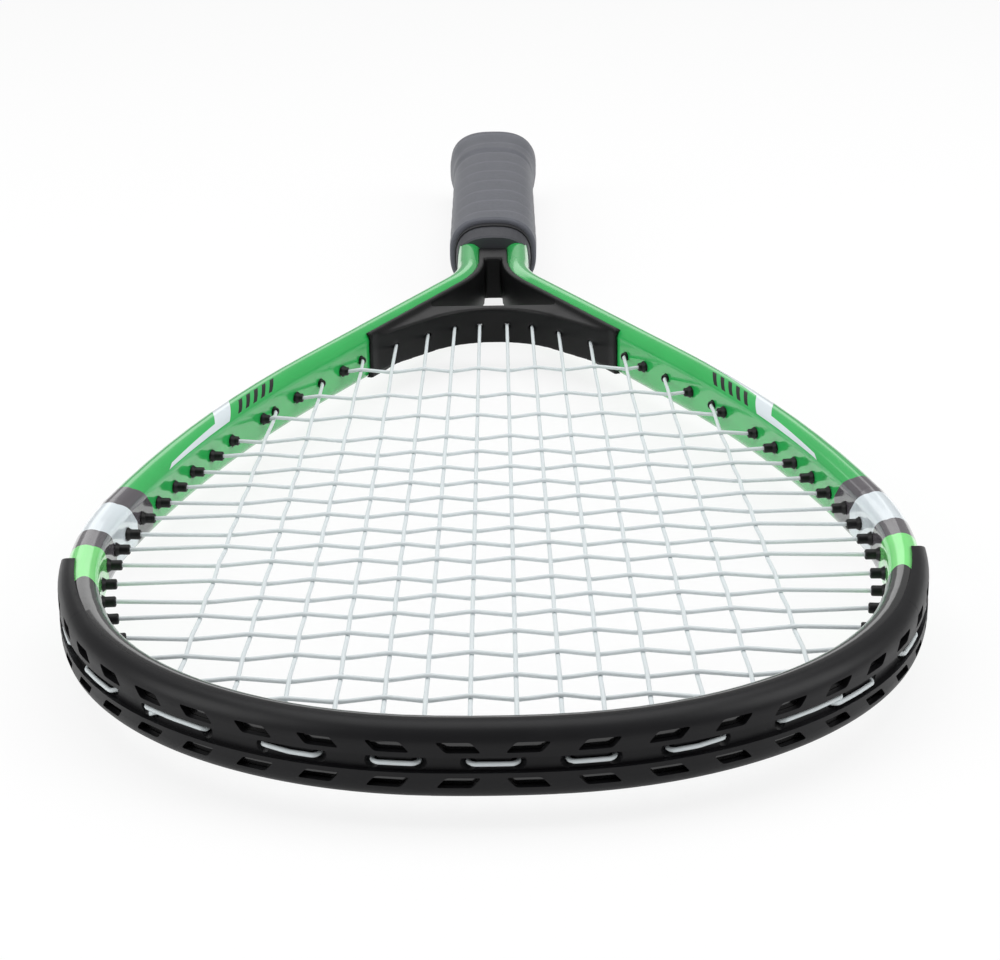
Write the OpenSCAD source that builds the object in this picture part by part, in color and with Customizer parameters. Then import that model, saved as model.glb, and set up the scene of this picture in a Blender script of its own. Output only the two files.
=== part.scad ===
// Strung crossminton racket: a one-piece tube hoop with two shafts, a moulded throat yoke,
// a bumper guard with grommets, two side grommet strips, two woven strings and a wrapped handle.
// The racket lies level: +X to the side, +Y from the tip to the butt, +Z up.
// The origin is on the floor under the middle of the racket.

/* [Hoop outline] */
// Radius of the flat arc across the tip
tip_r = 200; // [185:5:215]
// Heading of the rim where the tip arc ends, in degrees from +X
tip_turn = 3.7; // [3.2:0.1:4.2]
// Radius of the round corner on each side of the tip
corner_r = 93; // [91:0.5:95]
// Heading of the rim where the corner arc ends
corner_turn = 71; // [69:0.5:73]
// Radius of the widest part of each side
side_r = 150; // [144:2:156]
// Heading of the rim where the side arc ends
side_turn = 101; // [100:0.5:102]
// Radius of the gently curved shoulder
shoulder_r = 535; // [500:5:570]
// Heading of the straight that runs to the throat
shoulder_turn = 115.5; // [114.5:0.5:116.5]
// Radius of the bend from the straight into the shaft
neck_r = 62; // [54:1:70]
// Distance between the centre lines of the two shafts
shaft_spacing = 17; // [16.5:0.25:18]

/* [Frame tube] */
// Width of the tube, in the plane of the strings
tube_w = 8.5; // [8:0.25:9.5]
// Height of the tube, across the plane of the strings
tube_h = 17; // [16:0.5:19]
// Wall of the tube
tube_wall = 1.1; // [0.9:0.1:1.2]
// Width of the string groove round the outside of the hoop
groove_w = 5; // [4.6:0.1:5.4]
// Depth of the string groove
groove_d = 1.8; // [1.6:0.1:2]

/* [Grommets and bumper] */
// Radius of a grommet barrel
barrel_r = 1.35; // [1.25:0.05:1.45]
// How far a barrel stands out of the inner wall of the tube, round the tip and the sides
barrel_reach = 3.8; // [3.2:0.1:4]
// How far a barrel stands out of the inner wall of the tube on the shoulders
shoulder_reach = 2.6; // [2.2:0.1:2.8]
// Rounding of a barrel's tip
barrel_round = 0.4; // [0.3:0.05:0.5]
// Bore of a barrel
barrel_bore = 1.6; // [1.5:0.05:1.8]
// Radius of the stop collar on a barrel
stop_r = 1.9; // [1.7:0.05:2.1]
// Length of the stop collar
stop_l = 0.9; // [0.7:0.05:1.1]
// Thickness of the side grommet strips
strip_t = 0.7; // [0.6:0.05:0.8]
// Play between a moulding and the tube it sits on
fit = 0.08; // [0.07:0.01:0.12]
// Thickness of the bumper guard at the outermost point of the rim
bumper_t = 1.75; // [1.6:0.05:1.9]
// Thickness of the bumper guard at its upper and lower edges
bumper_edge_t = 0.35; // [0.3:0.05:0.45]
// How far outside the tube's centre line the bumper guard's edges lie
bumper_edge = 1.7; // [1.4:0.1:2.2]
// Heading of the rim where each end of the bumper guard comes to its point
bumper_turn = 88.9; // [88.5:0.1:89]
// Length of the pointed end of the bumper guard
bumper_point = 22; // [18:1:26]
// Length over which each end of the bumper guard grows thin
bumper_taper = 9; // [7:0.5:12]
// Width of the channel for the string in the bumper guard
channel_w = 3.6; // [3.4:0.1:4]
// Length of a bumper window
window_l = 9.8; // [9:0.1:10.4]
// Height of a bumper window
window_h = 2.4; // [2:0.1:2.6]
// Slant of the ends of a bumper window
window_slant = 2.2; // [1.5:0.1:2.6]
// Radius, about, of the rounded corners of a window
window_corner = 0.7; // [0.4:0.1:1]
// Distance between bumper windows along the rim
window_pitch = 14.5; // [14:0.25:15]
// Height of a row of bumper windows above or below the plane of the strings
window_z = 4.1; // [4:0.05:4.3]

/* [Throat yoke] */
// Distance from the tube's centre line at the tip to the middle of the arch
arch_y = 328.5; // [326:0.5:331]
// Radius of the arch
arch_r = 26; // [24:0.5:28]
// Slope of the arch's straight arms, in degrees
arch_slope = 49; // [47:0.5:51]
// Thickness of the bridge behind the middle of the arch
bridge_t = 4.6; // [4.2:0.1:6]
// Height of the bridge
bridge_h = 12; // [11:0.5:13]
// Height of the lining on the inside of the tubes
lining_h = 15.2; // [14.6:0.1:15.8]
// Thickness of the lining
lining_t = 1.1; // [1:0.1:1.4]
// Length of the web that closes the gap between the shafts
web_l = 15; // [12:1:17]
// Open gap between the web and the handle collar
web_gap = 2; // [1.5:0.5:4]
// Bore for a string through the yoke
yoke_bore = 1.9; // [1.7:0.1:2.1]

/* [Strings] */
// Diameter of the string
string_d = 1.1; // [0.9:0.05:1.15]
// Clear gap between two strings where they cross
weave_gap = 0.1; // [0.08:0.02:0.2]
// Height of a string loop above or below the middle of the groove, where two loops share it
loop_z = 0.62; // [0.6:0.01:0.66]

/* [Handle] */
// Bare length of the parallel shafts ahead of the handle collar
shaft_show = 20.5; // [19:0.5:22]
// Length of the handle, from the front of the collar to the butt
handle_l = 173; // [160:1:190]
// Width of the handle core
core_w = 28; // [27.6:0.1:28.8]
// Height of the handle core
core_h = 23.6; // [23:0.2:24.4]
// Width of the core's nose, which carries the collar
nose_w = 25.4; // [25:0.1:25.8]
// Height of the core's nose
nose_h = 20.8; // [20.4:0.1:21.2]
// Thickness of the grip tape
grip_t = 1.8; // [1.6:0.1:2.2]
// Width of one turn of the grip tape
grip_pitch = 17; // [15:1:20]
// Height of the step where one turn of the grip tape laps the last
grip_step = 0.35; // [0.2:0.05:0.45]
// Length of the rubber collar
collar_l = 13; // [11:0.5:14]
// Thickness of the rubber collar at its front edge
collar_t = 0.8; // [0.6:0.1:1]
// Width of the finishing tape that shows between the collar and the grip
finish_l = 4; // [3:0.5:5]
// Width of the butt cap at its widest
butt_w = 32.6; // [31.6:0.2:33.6]
// Height of the butt cap at its widest
butt_h = 25.6; // [25:0.2:26.6]
// Length of the butt cap
butt_l = 34; // [30:1:38]
// Thickness of the butt cap's end wall
butt_wall = 3; // [2.5:0.1:4]
// Radius of the blank disc in the butt cap's end
disc_r = 9; // [8:0.5:10]
// Thickness of the blank disc
disc_t = 1.2; // [1:0.1:1.6]

/* [Hidden] */
$fn = 48;

// Where the strings run, measured from the tube's centre line at the tip.
// Half of the main strings, from the middle out: distance from the middle at the tip and at the throat.
main_tip_x = [5.2, 15.3, 24.7, 35.4, 47, 59, 72.7];
main_throat_x = [4.6, 13, 21.8, 31.9, 42, 53.5, 65.8];
// The cross strings, from the tip to the throat.
cross_y = [28.5, 40, 53, 65.5, 77.5, 88.5, 100, 113, 124, 135, 147, 159, 171.5, 184, 197.5, 211, 231, 251.5, 278.5];
// Cross strings, counted from the throat, whose barrels are short ones.
short_crosses = 4;
// Main strings on each side that end in the yoke; the others end in the tube.
yoke_mains = 4;

// Outline of the hoop: tangent arcs, each [centre, radius, first heading, last heading].
function out_of(t) = [sin(t), -cos(t)];
function along(t) = [cos(t), sin(t)];
tip_c = [0, tip_r];
corner_c = tip_c + (tip_r - corner_r) * out_of(tip_turn);
side_c = corner_c + (corner_r - side_r) * out_of(corner_turn);
shoulder_c = side_c + (side_r - shoulder_r) * out_of(side_turn);
ARCS = [
    [tip_c, tip_r, 0, tip_turn],
    [corner_c, corner_r, tip_turn, corner_turn],
    [side_c, side_r, corner_turn, side_turn],
    [shoulder_c, shoulder_r, side_turn, shoulder_turn]
];
shoulder_end = shoulder_c + shoulder_r * out_of(shoulder_turn);
shaft_x = shaft_spacing / 2;
straight_l = (shoulder_end[0] - shaft_x - neck_r * (1 - sin(shoulder_turn))) / -cos(shoulder_turn);
straight_end = shoulder_end + straight_l * along(shoulder_turn);
neck_c = straight_end + neck_r * out_of(shoulder_turn);
neck_y = neck_c[1];

// A spot on the rim is [point, heading]; off is the distance outside the tube's centre line.
function on_arc(a, t, off) = [a[0] + (a[1] + off) * out_of(t), t];
function on_straight(s, off) =
    [shoulder_end + off * out_of(shoulder_turn) + s * along(shoulder_turn), shoulder_turn];
function straight_y(y, off) =
    on_straight((y - on_straight(0, off)[0][1]) / sin(shoulder_turn), off);
function straight_x(x, off) =
    on_straight((x - on_straight(0, off)[0][0]) / cos(shoulder_turn), off);
function rim_at_y(y, off) =
    let (hits = [for (a = ARCS)
        let (q = (a[0][1] - y) / (a[1] + off))
        if (abs(q) < 1 && acos(q) >= a[2] && acos(q) < a[3]) on_arc(a, acos(q), off)])
    len(hits) > 0 ? hits[0] : straight_y(y, off);
function tip_at_x(x, off) =
    [for (a = ARCS)
        let (q = (x - a[0][0]) / (a[1] + off))
        if (abs(q) < 1 && asin(q) >= a[2] && asin(q) < a[3]) on_arc(a, asin(q), off)][0];
function shoulder_at_x(x, off) =
    let (hits = [for (a = ARCS)
        let (q = (x - a[0][0]) / (a[1] + off))
        if (abs(q) < 1 && 180 - asin(q) >= max(a[2], 90) && 180 - asin(q) < a[3])
            on_arc(a, 180 - asin(q), off)])
    len(hits) > 0 ? hits[0] : straight_x(x, off);
// The spot a given length along the tube's centre line from the middle of the tip.
function arc_l(a) = a[1] * (a[3] - a[2]) * PI / 180;
function rim_at_length(s, off, i = 0) =
    s < arc_l(ARCS[i]) || i == len(ARCS) - 1
    ? on_arc(ARCS[i], ARCS[i][2] + s / ARCS[i][1] * 180 / PI, off)
    : rim_at_length(s - arc_l(ARCS[i]), off, i + 1);

// A hole is [barrel tip, heading of the rim, direction outwards, offset of the tip]. The barrel stands
// out of the inner wall along its string, and the hole halves the angle between the string and the
// square line through the rim.
inner_off = -tube_w / 2;
// Cross strings whose grommets are in the bumper guard, ahead of its ends; the others are in the side strips.
bumper_crosses = len([for (y = cross_y) if (rim_at_y(y, inner_off)[1] < bumper_turn) y]);
function hole(spot, string_dir, stand) =
    let (d = out_of(spot[1]) + string_dir)
    [
        spot[0] - stand * string_dir,
        spot[1],
        d / norm(d),
        inner_off - stand * (string_dir * out_of(spot[1]))
    ];
cross_holes = [for (j = [0 : len(cross_y) - 1])
    hole(rim_at_y(cross_y[j], inner_off), [1, 0],
         j < len(cross_y) - short_crosses ? barrel_reach : shoulder_reach)];
tip_holes = [for (x = main_tip_x) hole(tip_at_x(x, inner_off), [0, -1], barrel_reach)];
throat_holes = [for (i = [yoke_mains : len(main_throat_x) - 1])
    hole(shoulder_at_x(main_throat_x[i], inner_off), [0, 1], shoulder_reach)];
bumper_holes = concat(tip_holes, [for (i = [0 : bumper_crosses - 1]) cross_holes[i]]);
strip_holes = concat([for (i = [bumper_crosses : len(cross_y) - 1]) cross_holes[i]], throat_holes);
// How much longer a slanted hole is than a square one, and its reach to a given offset.
function slant(h) = h[2] * out_of(h[1]);
function reach(h, off) = (off - h[3]) / slant(h);
function hole_point(h, off) = h[0] + reach(h, off) * h[2];

// Offsets of the groove, the channel and the string loops from the tube's centre line.
groove_floor = tube_w / 2 - groove_d;
strip_top = groove_floor + fit + strip_t;
string_r = string_d / 2;
loop_play = 0.06;
bumper_out = tube_w / 2 + bumper_t;
channel_floor = bumper_out - string_d - 0.4;
bumper_loop = channel_floor + string_r + loop_play;
strip_loop = strip_top + string_r + loop_play;
string_bend = 1.1;
hole_play = 0.1;
mouth_r = 1.75;
mouth_d = 1;
groove_run = 8;
groove_s = (hole_point(throat_holes[0], groove_floor) - shoulder_end) * along(shoulder_turn) + groove_run;
strip_gap = 0.3;

// Overall places.
collar_y = neck_y + shaft_show;
butt_y = collar_y + handle_l;
middle_y = (butt_y - bumper_out) / 2;
grip_y = collar_y + collar_l + finish_l;
tape_gap = 0.15;
floor_z = butt_h / 2 + tape_gap + grip_t;

// Moves the drawing, which starts at the tip in the plane of the strings, to the part's origin.
module placed() {
    translate([0, -middle_y, floor_z]) children();
}

module both_sides() {
    children();
    mirror([1, 0, 0]) children();
}

// Neighbouring sweeps lap each other by a short length, and every second one is a hair thicker.
lap = 0.02;
lap_l = 0.3;
function lap_turn(a) = lap_l / a[1] * 180 / PI;

// Sweeps the children's outline, drawn with x outwards and y up, round one arc of the rim.
module arc_sweep(a, from, to) {
    translate([a[0][0], a[0][1], 0])
        rotate([0, 0, from - 90])
            rotate_extrude(angle = to - from, $fn = 360)
                translate([a[1], 0]) children();
}

// One whole arc of the rim; every second arc laps both its neighbours.
module hoop_sweep(i) {
    more = i % 2 == 1 ? lap_turn(ARCS[i]) : 0;
    arc_sweep(ARCS[i], ARCS[i][2] - more, ARCS[i][3] + more) children();
}

module straight_sweep(from, to) {
    end = on_straight(to, 0)[0];
    translate([end[0], end[1], 0])
        rotate([90, 0, shoulder_turn - 90])
            linear_extrude(to - from) children();
}

module neck_sweep() {
    translate([neck_c[0], neck_c[1], 0])
        rotate([0, 0, 180])
            rotate_extrude(angle = shoulder_turn - 90, $fn = 360)
                translate([neck_r, 0]) mirror([1, 0]) children();
}

module shaft_sweep(l) {
    translate([shaft_x, neck_y + l, 0]) rotate([90, 0, 0]) linear_extrude(l + lap_l) children();
}

// The tube's outline, a tall slot shape, grown on all sides.
module slot_shape(grow) {
    square([tube_w + 2 * grow, tube_h - tube_w], center = true);
    for (side = [-1, 1]) {
        translate([0, side * (tube_h - tube_w) / 2]) circle(tube_w / 2 + grow);
    }
}

// Everything in the string groove, outside the given offset.
module groove_shape(off, w) {
    translate([off, -w / 2]) square([tube_w, w]);
}

module grooved_tube_shape(more) {
    difference() {
        slot_shape(more);
        groove_shape(groove_floor + more, groove_w - 2 * more);
        difference() {
            slot_shape(-tube_wall - more);
            groove_shape(groove_floor - tube_wall - more, groove_w + 2 * tube_wall + 2 * more);
        }
    }
}

module plain_tube_shape(more) {
    difference() {
        slot_shape(more);
        slot_shape(-tube_wall - more);
    }
}

function plain_outline(r, from, to) = [[0, from], [r, from], [r, to], [0, to]];

// Turns an outline of [radius, distance outwards from the barrel tip] points round the axis of a hole.
module on_hole(h, outline) {
    translate([h[0][0], h[0][1], 0])
        rotate([0, 90, atan2(h[2][1], h[2][0])])
            rotate_extrude() polygon(outline);
}

module frame_tube() {
    color("mediumseagreen") placed() {
        difference() {
            union() {
                arc_sweep(ARCS[0], -tip_turn, tip_turn) grooved_tube_shape(0);
                both_sides() {
                    hoop_sweep(1) grooved_tube_shape(lap);
                    hoop_sweep(2) grooved_tube_shape(0);
                    hoop_sweep(3) grooved_tube_shape(lap);
                    straight_sweep(0, groove_s) grooved_tube_shape(0);
                    straight_sweep(groove_s - lap_l, straight_l + lap_l) plain_tube_shape(lap);
                    neck_sweep() plain_tube_shape(0);
                    shaft_sweep(shaft_show + shaft_stop) plain_tube_shape(lap);
                }
            }
            both_sides() {
                for (h = concat(bumper_holes, strip_holes)) {
                    on_hole(h, plain_outline(barrel_r + hole_play, reach(h, inner_off - 1.2),
                                             reach(h, groove_floor + 1.2)));
                }
            }
        }
    }
}

// A barrel from its tip out to the given offset. Where it is nearly square to the wall it has a stop
// collar against the tube's inner side.
module barrel(h, to) {
    lean = sqrt(1 - slant(h) * slant(h)) / slant(h);
    stop = reach(h, inner_off - stop_r * lean - hole_play);
    collar = stop > stop_l + 0.5
        ? [[barrel_r, stop - stop_l], [stop_r, stop], [barrel_r, stop]]
        : [];
    tip = [[0, 0], [barrel_r - barrel_round, 0], [barrel_r - barrel_round * 0.3, barrel_round * 0.3], [barrel_r, barrel_round]];
    on_hole(h, concat(tip, collar, [[barrel_r, reach(h, to)], [0, reach(h, to)]]));
}

// The bore of a barrel, with a flared mouth where the string turns into the groove.
module barrel_bore_cut(h, floor) {
    top = reach(h, floor);
    on_hole(h, [
        [0, -1],
        [barrel_bore / 2, -1],
        [barrel_bore / 2, top - mouth_d],
        [mouth_r, top],
        [mouth_r, top + 1.2],
        [0, top + 1.2]
    ]);
}

module bumper_shape(more) {
    difference() {
        intersection() {
            translate([bumper_t - bumper_edge_t, 0]) slot_shape(bumper_edge_t + more);
            translate([bumper_edge - more, -tube_h]) square([tube_w, 2 * tube_h]);
        }
        difference() {
            slot_shape(fit - more);
            groove_shape(groove_floor + fit - more, groove_w - 2 * (fit - more));
        }
        groove_shape(channel_floor + more, channel_w - 2 * more);
    }
}

// Places the children on the rim's outside: x along the rim, y up, z outwards.
module on_rim(spot) {
    translate([spot[0][0], spot[0][1], 0]) rotate([0, 0, spot[1]]) rotate([90, 0, 0]) children();
}

// An outline with each corner turned into a short curve that starts a given distance from it.
function unit(v) = v / norm(v);
function rounded(points, r, steps = 3) =
    let (n = len(points))
    [for (i = [0 : n - 1], k = [0 : steps])
        let (
            t = k / steps,
            here = points[i],
            from = here + r * unit(points[(i + n - 1) % n] - here),
            to = here + r * unit(points[(i + 1) % n] - here)
        )
        (1 - t) * (1 - t) * from + 2 * t * (1 - t) * here + t * t * to];

module window_cut(i, row) {
    on_rim(rim_at_length((i + 0.5) * window_pitch, tube_w / 2 - groove_d))
        translate([0, row * window_z, 0])
            linear_extrude(bumper_t + groove_d + 1)
                polygon(rounded([
                    [-window_l / 2, -row * window_h / 2],
                    [window_l / 2 - window_slant, -row * window_h / 2],
                    [window_l / 2, row * window_h / 2],
                    [-window_l / 2 + window_slant, row * window_h / 2]
                ], window_corner));
}

// Trims the end of the guard to a point: what lies outside two crossing arcs is cut away.
module point_cut() {
    half = tube_h / 2 + bumper_t;
    drop = (bumper_point * bumper_point - half * half) / (2 * half);
    end_arc = ARCS[2];
    on_rim(on_arc(end_arc, bumper_turn, -tube_w))
        linear_extrude(3 * tube_w)
            difference() {
                translate([-bumper_point, -tube_h]) square([2 * bumper_point, 2 * tube_h]);
                intersection_for (side = [-1, 1]) {
                    translate([-bumper_point, side * drop]) circle(half + drop, $fn = 96);
                }
            }
}

// Thins the end of the guard down to its edge's thickness.
module end_taper_cut() {
    on_rim(on_arc(ARCS[2], bumper_turn, tube_w / 2 + bumper_edge_t))
        translate([0, tube_h, 0])
            rotate([90, 0, 0])
                linear_extrude(2 * tube_h)
                    polygon([[-bumper_taper, bumper_t], [1, -0.1], [3, bumper_t], [3, 2 * bumper_t], [-bumper_taper, 2 * bumper_t]]);
}

window_count = floor((arc_l(ARCS[0]) + arc_l(ARCS[1])
    + side_r * (bumper_turn - corner_turn) * PI / 180 - bumper_point) / window_pitch + 0.4);

module bumper_guard() {
    color([0.16, 0.16, 0.17]) placed() difference() {
        union() {
            difference() {
                union() {
                    arc_sweep(ARCS[0], -tip_turn - lap_turn(ARCS[0]), tip_turn + lap_turn(ARCS[0]))
                        bumper_shape(0);
                    both_sides() {
                        arc_sweep(ARCS[1], tip_turn, corner_turn) bumper_shape(-lap);
                        arc_sweep(ARCS[2], corner_turn - lap_turn(ARCS[2]), bumper_turn) bumper_shape(0);
                    }
                }
                both_sides() {
                    for (i = [0 : window_count - 1], row = [-1, 1]) {
                        window_cut(i, row);
                    }
                    point_cut();
                    end_taper_cut();
                }
            }
            both_sides() {
                for (h = bumper_holes) {
                    barrel(h, channel_floor - 0.2);
                }
            }
        }
        both_sides() {
            for (h = bumper_holes) {
                barrel_bore_cut(h, channel_floor);
            }
        }
    }
}

module strip_shape(more) {
    translate([groove_floor + fit - more, -groove_w / 2 + fit - more])
        square([strip_t + 2 * more, groove_w - 2 * (fit - more)]);
}

module grommet_strip() {
    start = bumper_turn + strip_gap / side_r * 180 / PI;
    difference() {
        union() {
            arc_sweep(ARCS[2], start, side_turn + lap_turn(ARCS[2])) strip_shape(0);
            arc_sweep(ARCS[3], side_turn, shoulder_turn) strip_shape(-lap);
            straight_sweep(-lap_l, groove_s - strip_gap) strip_shape(0);
            for (h = strip_holes) {
                barrel(h, groove_floor + fit + strip_t / 2);
            }
        }
        for (h = strip_holes) {
            barrel_bore_cut(h, strip_top);
        }
    }
}

module grommet_strip_right() {
    color([0.13, 0.13, 0.14]) placed() grommet_strip();
}

module grommet_strip_left() {
    color([0.13, 0.13, 0.14]) placed() mirror([1, 0, 0]) grommet_strip();
}

// The front of the yoke: an arch with two straight arms.
arm = [arch_r * sin(arch_slope), arch_y - arch_r * (1 - cos(arch_slope))];
function arch_front(x) =
    x < arm[0] ? arch_y - arch_r + sqrt(arch_r * arch_r - x * x) : arm[1] - (x - arm[0]) * tan(arch_slope);
bridge_back = arch_y + bridge_t;
web_end = collar_y - web_gap;
web_start = web_end - web_l;

module bridge_block() {
    low = straight_y(arch_y - arch_r - 20, 0)[0];
    high = straight_y(bridge_back, 0)[0];
    far = arm + 60 * [cos(arch_slope), -sin(arch_slope)];
    linear_extrude(bridge_h, center = true)
        difference() {
            polygon([[-low[0], low[1]], low, high, [-high[0], high[1]]]);
            translate([0, arch_y - arch_r]) circle(arch_r, $fn = 96);
            polygon([[-arm[0], arm[1]], [-far[0], far[1]], far, arm]);
        }
}

module lining_shape(more) {
    translate([inner_off - lining_t - more, -lining_h / 2 - more])
        square([tube_w / 2 + lining_t + more, lining_h + 2 * more]);
}

// Where the lining starts on the straight: level with the end of the arch's arm.
function arm_meets(off) =
    let (p = on_straight(0, off)[0], d = along(shoulder_turn), k = tan(arch_slope))
    (arm[1] + k * arm[0] - p[1] - k * p[0]) / (d[1] + k * d[0]);

// The bends of the string tunnel that joins two bores inside the thick end of the bridge.
tunnel_in = 3.4;
tunnel_play = 0.15;
function tunnel_spot(i, side) = [main_throat_x[i] + side, arch_front(main_throat_x[i]) + tunnel_in];
tunnel_a = tunnel_spot(3, 0);
tunnel_b = tunnel_spot(2, string_bend);
tunnel_c = tunnel_spot(2, 0) - [0, 0.3];
bore_in = 9;
bore_mouth = 0.9;

// A bore along Y into the bridge, from its front, to a given depth.
module front_bore(p) {
    translate([p[0], p[1], 0]) rotate([90, 0, 0]) cylinder(d = yoke_bore, h = bore_in);
}

// The flat tunnel that holds the string between two front bores.
module tunnel() {
    e = yoke_bore / 2 + tunnel_play;
    linear_extrude(2 * e, center = true)
        polygon([
            tunnel_a + [e, -1],
            tunnel_a + [e, 0.8],
            tunnel_b + [0.5, 1.2],
            tunnel_c + [-e, 1.5],
            tunnel_c + [-e, -1.1],
            tunnel_c + [e, -1.1],
            tunnel_a + [-e, -1]
        ]);
}

module yoke_bores() {
    r = yoke_bore / 2;
    for (i = [0, 1]) {
        translate([main_throat_x[i], bridge_back, 0])
            rotate([90, 0, 0])
                rotate_extrude()
                    polygon([[0, -1], [r + bore_mouth, -1], [r + bore_mouth, 0], [r, bore_mouth], [r, 30], [0, 30]]);
    }
    front_bore(tunnel_a);
    front_bore(tunnel_c);
    tunnel();
}

module throat_yoke() {
    color([0.14, 0.14, 0.15]) placed() difference() {
        union() {
            bridge_block();
            both_sides() {
                straight_sweep(arm_meets(inner_off), straight_l + lap_l) lining_shape(lap);
                neck_sweep() lining_shape(0);
                shaft_sweep(web_end - neck_y) lining_shape(lap);
            }
            translate([-shaft_x, web_start, -lining_h / 2]) cube([shaft_spacing, web_l, lining_h]);
        }
        both_sides() {
            straight_sweep(0, straight_l + lap_l) slot_shape(fit + lap);
            neck_sweep() slot_shape(fit);
            shaft_sweep(shaft_show) slot_shape(fit + lap);
            yoke_bores();
        }
    }
}

// Strings. A string is a list of [x, y, z] points, swept as one tube of six sides.
weave_z = (string_d + weave_gap) / 2;
string_sides = 6;

module string_tube(points) {
    n = len(points);
    // Directions of the runs, and at each point the direction half way between its two runs.
    run = [for (i = [0 : n - 2]) (points[i + 1] - points[i]) / norm(points[i + 1] - points[i])];
    mid = [for (i = [0 : n - 1])
        let (d = run[max(i - 1, 0)] + run[min(i, n - 2)]) d / norm(d)];
    up = [0, 0, 1];
    rings = [for (i = [0 : n - 1])
        let (
            side = cross(mid[i], up) / norm(cross(mid[i], up)),
            top = cross(side, mid[i]),
            stretch = 1 / (mid[i] * run[min(i, n - 2)])
        )
        [for (k = [0 : string_sides - 1])
            let (a = (k + 0.5) * 360 / string_sides)
            points[i] + string_r * (cos(a) * stretch * side + sin(a) * top)]];
    skin(rings);
}

// Joins rings of equal length into one closed solid.
module skin(rings) {
    n = len(rings[0]);
    m = len(rings);
    pts = [for (r = rings) each r];
    first = [for (k = [1 : n - 2]) [0, k + 1, k]];
    last = [for (k = [1 : n - 2]) [(m - 1) * n, (m - 1) * n + k, (m - 1) * n + k + 1]];
    walls = [for (j = [0 : m - 2], k = [0 : n - 1])
        let (a = j * n + k, b = j * n + (k + 1) % n)
        each [[a, b + n, a + n], [a, b, b + n]]];
    polyhedron(pts, concat(first, walls, last));
}

// A string turns out of a hole and into the groove in two points, one in the bore and one in the groove.
function turn_out(h, off, toward, z) =
    let (p = hole_point(h, off))
    [
        [each hole_point(h, off - string_bend), 0.3 * z],
        [each (p + string_bend * toward * along(h[1])), z]
    ];
// Mirrors a list of points to the left side.
function flip(points) = [for (p = points) [-p[0], p[1], p[2]]];
function backwards(points) = [for (i = [len(points) - 1 : -1 : 0]) points[i]];
function flat(p, z) = [p[0], p[1], z];

// The loops in the bumper's channel run low or high where a main and a cross loop share it.
shared_from = tip_holes[len(tip_holes) - 3][0][0];
function main_loop_z(x) = abs(x) >= shared_from - 0.01 ? loop_z : 0;
// The middle of a loop between two holes of one side.
function loop_mid(a, b, off, z) =
    let (p = (hole_point(a, off) + hole_point(b, off)) / 2, t = (a[1] + b[1]) / 2, r = rise(a, b))
    flat(p + r * out_of(t), z);
// How far the rim bows out between two spots.
function rise(a, b) = norm(hole_point(a, 0) - hole_point(b, 0)) * tan(abs(a[1] - b[1]) / 4) / 2;

// Where main string i meets cross string y, and the weave's height there.
function main_dir(i) = (throat_tip(i) - tip_holes[i][0]) / norm(throat_tip(i) - tip_holes[i][0]);
function throat_tip(i) =
    i < yoke_mains
    ? [main_throat_x[i], arch_front(main_throat_x[i])]
    : throat_holes[i - yoke_mains][0];
function main_x(i, y) =
    tip_holes[i][0][0]
    + (throat_tip(i)[0] - tip_holes[i][0][0]) * (y - tip_holes[i][0][1]) / (throat_tip(i)[1] - tip_holes[i][0][1]);
weave_clear = 0.8;
function crosses_of(i) = [for (j = [0 : len(cross_y) - 1])
    if (cross_y[j] > tip_holes[i][0][1] + weave_clear && cross_y[j] < throat_tip(i)[1] - weave_clear
        && main_x(i, cross_y[j]) < cross_holes[j][0][0] - weave_clear) j];
function over(i, j, side) = ((i + j + (side > 0 ? 0 : 1)) % 2 == 0 ? 1 : -1);

// One main string of the right side, from the tip to the throat, between its two holes.
function main_run(i, side) = [
    flat(tip_holes[i][0], 0),
    for (j = crosses_of(i)) [main_x(i, cross_y[j]), cross_y[j], weave_z * over(i, j, side)],
    flat(throat_tip(i), 0)
];
function main_side(i, side) = side > 0 ? main_run(i, side) : flip(main_run(i, side));

main_count = len(main_tip_x);
// Signed place of the main string k, counted from the left: [index from the middle, side].
function main_of(k) = k < main_count ? [main_count - 1 - k, -1] : [k - main_count, 1];
function sided(points, side) = side > 0 ? points : flip(points);

// The bend out of the tip hole of string k, towards string k + 1 or k - 1.
function tip_bend(k, toward) =
    let (m = main_of(k), h = tip_holes[m[0]], dir = toward * m[1])
    sided(turn_out(h, bumper_loop, dir, main_loop_z(h[0][0])), m[1]);
function tip_middle(k) =
    let (a = main_of(k), b = main_of(k + 1))
    a[1] != b[1]
    ? [0, tip_loop_y, main_loop_z(0)]
    : sided([loop_mid(tip_holes[a[0]], tip_holes[b[0]], bumper_loop, main_loop_z(tip_holes[min(a[0], b[0])][0][0]))],
            a[1])[0];
tip_loop_y = -bumper_loop;

// The bend behind the bridge, in the tunnel, or out of the tube's outer wall at the throat.
bridge_loop = bridge_back + string_r + loop_play;
function throat_bend(k, toward) =
    let (m = main_of(k), i = m[0], dir = toward * m[1], x = main_throat_x[i])
    sided(
        i < 2 ? [[x, bridge_loop - string_bend, 0], [x + dir * string_bend, bridge_loop, 0]]
        : i < yoke_mains ? (i == 2 ? [flat(tunnel_c, 0), flat(tunnel_b, 0)] : [flat(tunnel_a, 0)])
        : turn_out(throat_holes[i - yoke_mains], strip_loop, -dir, loop_z),
        m[1]);

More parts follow.
